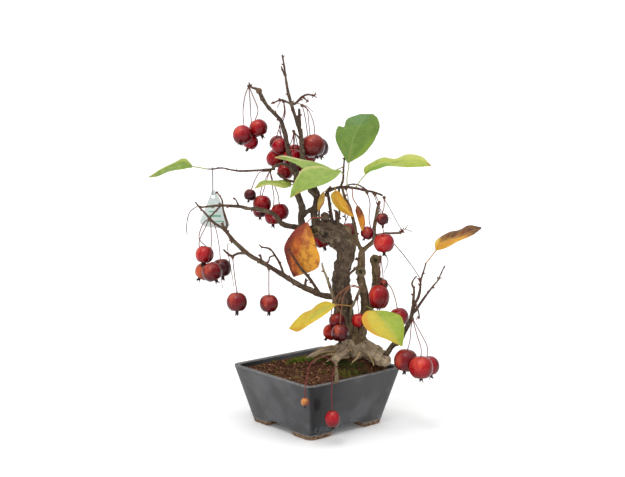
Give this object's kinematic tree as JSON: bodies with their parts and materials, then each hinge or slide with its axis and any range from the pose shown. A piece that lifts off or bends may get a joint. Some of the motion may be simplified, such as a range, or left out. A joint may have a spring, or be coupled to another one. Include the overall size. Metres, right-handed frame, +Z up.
{
  "type": "crabapple bonsai",
  "caption": "Miniature crabapple tree with a gnarled trunk, bare twigs, hanging red fruit and autumn leaves, standing in a dark glazed pot on corner feet",
  "frame": {"origin": "on the surface that the pot stands on, under the middle of the whole tree's box", "axes": "+Z up; +X and +Y along the pot's two sides; the picture's viewer stands towards +X and -Y"},
  "size_m": [0.2678, 0.2338, 0.3713],
  "materials": {
    "pot_glaze": "glossy charcoal glaze, bare clay on the feet",
    "soil_grains": "loose baked-clay grains with moss",
    "bark": "rough grey-brown bark",
    "apple_skin": "smooth waxy red skin",
    "leaf_green": "satin leaf, toothed edge",
    "leaf_yellow": "satin autumn leaf",
    "leaf_orange": "dry autumn leaf",
    "label_plastic": "thin translucent plastic",
    "tie": "thin dark loop"
  },
  "bodies": {
    "root": {"fruit_behind_head": "apple_skin", "fruit_between_leaders": "apple_skin", "fruit_crown_left": "apple_skin", "fruit_dried": "apple_skin", "fruit_head_left": "apple_skin", "fruit_leader_left": "apple_skin", "fruit_leader_right": "apple_skin", "fruit_limb_far": "apple_skin", "fruit_limb_near": "apple_skin", "fruit_limb_right": "apple_skin", "fruit_low_left": "apple_skin", "fruit_low_middle": "apple_skin", "fruit_low_right": "apple_skin", "fruit_middle_left": "apple_skin", "fruit_outer_left": "apple_skin", "fruit_over_rim": "apple_skin", "fruit_right_front": "apple_skin", "fruit_right_inner": "apple_skin", "fruit_trunk_front": "apple_skin", "leaf_big_back": "leaf_green", "leaf_big_front": "leaf_green", "leaf_centre_brown": "leaf_orange", "leaf_centre_yellow": "leaf_yellow", "leaf_far_left": "leaf_green", "leaf_left_narrow": "leaf_green", "leaf_low_left": "leaf_yellow", "leaf_low_right": "leaf_green", "leaf_orange": "leaf_orange", "leaf_outer_right": "leaf_yellow", "leaf_right": "leaf_green", "leaf_small_tan": "leaf_yellow", "leaf_top": "leaf_green", "pot": "pot_glaze", "soil": "soil_grains", "tag": "label_plastic", "tag_loop": "tie", "wood": "bark"}
  },
  "joints": []
}
